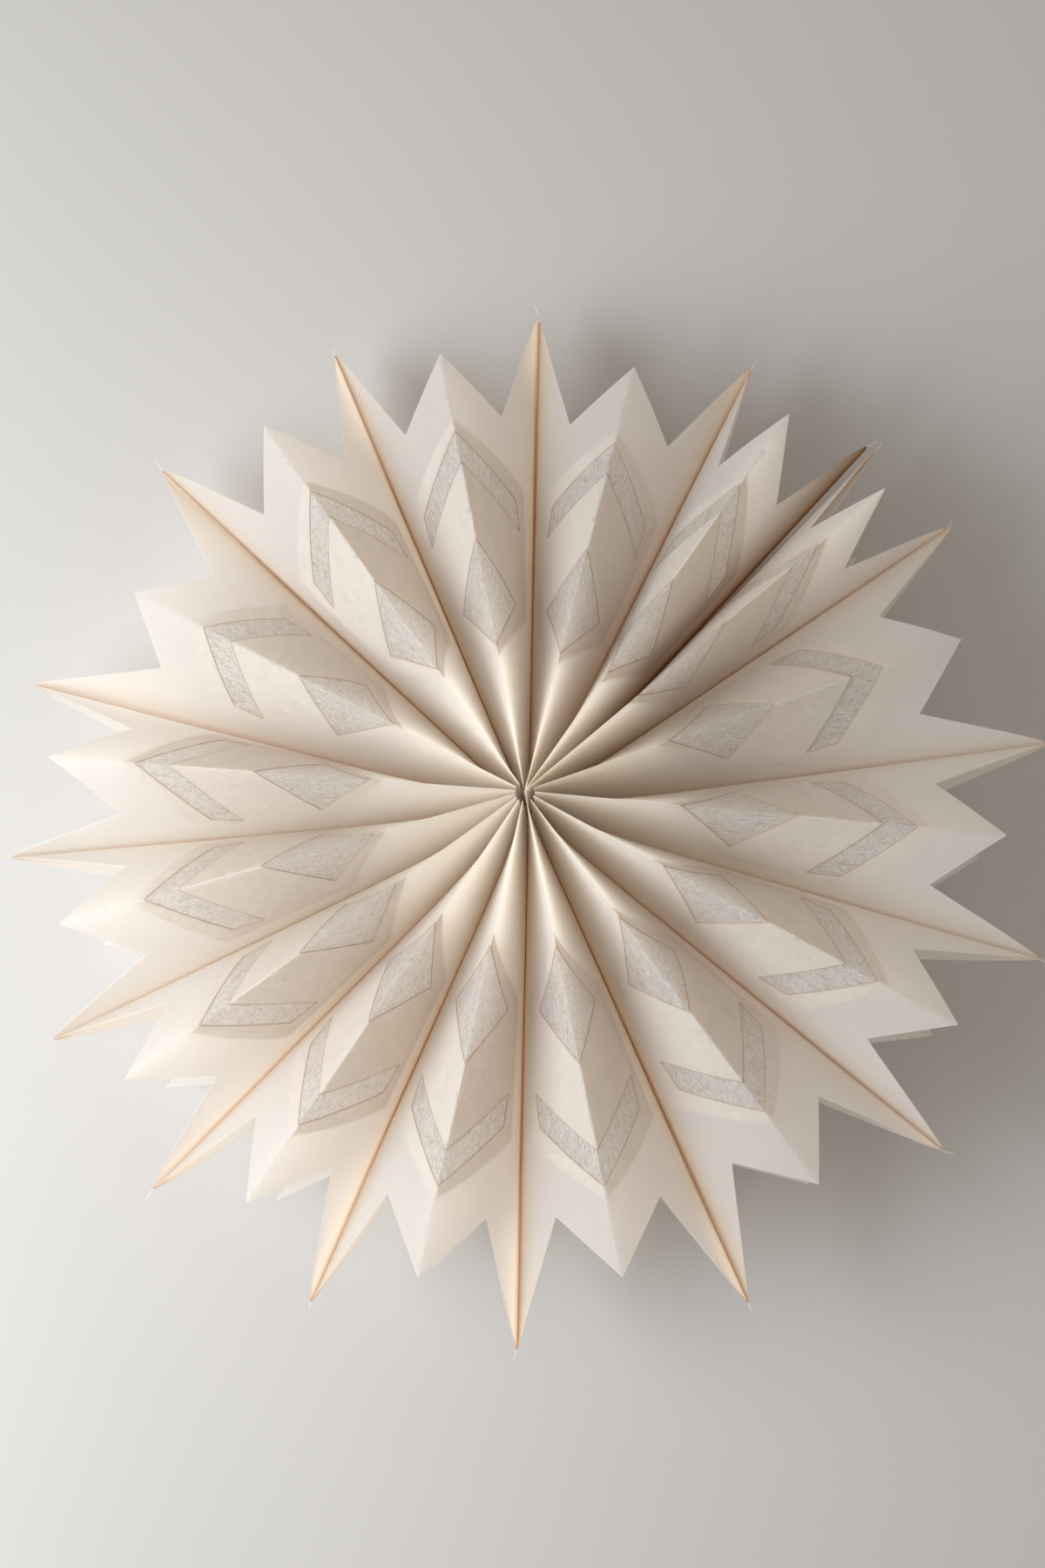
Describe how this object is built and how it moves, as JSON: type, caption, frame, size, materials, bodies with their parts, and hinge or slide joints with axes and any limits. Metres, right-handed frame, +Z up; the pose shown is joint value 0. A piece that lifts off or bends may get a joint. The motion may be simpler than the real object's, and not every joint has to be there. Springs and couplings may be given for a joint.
{
  "type": "paper star",
  "caption": "Round folded star of flat paper bags joined side by side, with pointed rims and papered kite and chevron windows across each fold.",
  "frame": {"origin": "point on the ground under the back of the hub, where the star lies on it", "axes": "+Z up from the ground, out of the star's front; +Y towards the star's top and +X to its right, seen from the front"},
  "size_m": [0.595, 0.5968, 0.1568],
  "materials": {
    "white_paper": "matte",
    "thin_paper": "matte, fibrous"
  },
  "bodies": {
    "root": {"paper_bag_01": "white_paper", "paper_bag_02": "white_paper", "paper_bag_03": "white_paper", "paper_bag_04": "white_paper", "paper_bag_05": "white_paper", "paper_bag_06": "white_paper", "paper_bag_07": "white_paper", "paper_bag_08": "white_paper", "paper_bag_09": "white_paper", "paper_bag_10": "white_paper", "paper_bag_11": "white_paper", "paper_bag_12": "white_paper", "paper_bag_13": "white_paper", "paper_bag_14": "white_paper", "paper_bag_15": "white_paper", "paper_bag_16": "white_paper", "window_paper_front_01": "thin_paper", "window_paper_back_01": "thin_paper", "window_paper_front_02": "thin_paper", "window_paper_back_02": "thin_paper", "window_paper_front_03": "thin_paper", "window_paper_back_03": "thin_paper", "window_paper_front_04": "thin_paper", "window_paper_back_04": "thin_paper", "window_paper_front_05": "thin_paper", "window_paper_back_05": "thin_paper", "window_paper_front_06": "thin_paper", "window_paper_back_06": "thin_paper", "window_paper_front_07": "thin_paper", "window_paper_back_07": "thin_paper", "window_paper_front_08": "thin_paper", "window_paper_back_08": "thin_paper", "window_paper_front_09": "thin_paper", "window_paper_back_09": "thin_paper", "window_paper_front_10": "thin_paper", "window_paper_back_10": "thin_paper", "window_paper_front_11": "thin_paper", "window_paper_back_11": "thin_paper", "window_paper_front_12": "thin_paper", "window_paper_back_12": "thin_paper", "window_paper_front_13": "thin_paper", "window_paper_back_13": "thin_paper", "window_paper_front_14": "thin_paper", "window_paper_back_14": "thin_paper", "window_paper_front_15": "thin_paper", "window_paper_back_15": "thin_paper", "window_paper_front_16": "thin_paper", "window_paper_back_16": "thin_paper"}
  },
  "joints": []
}
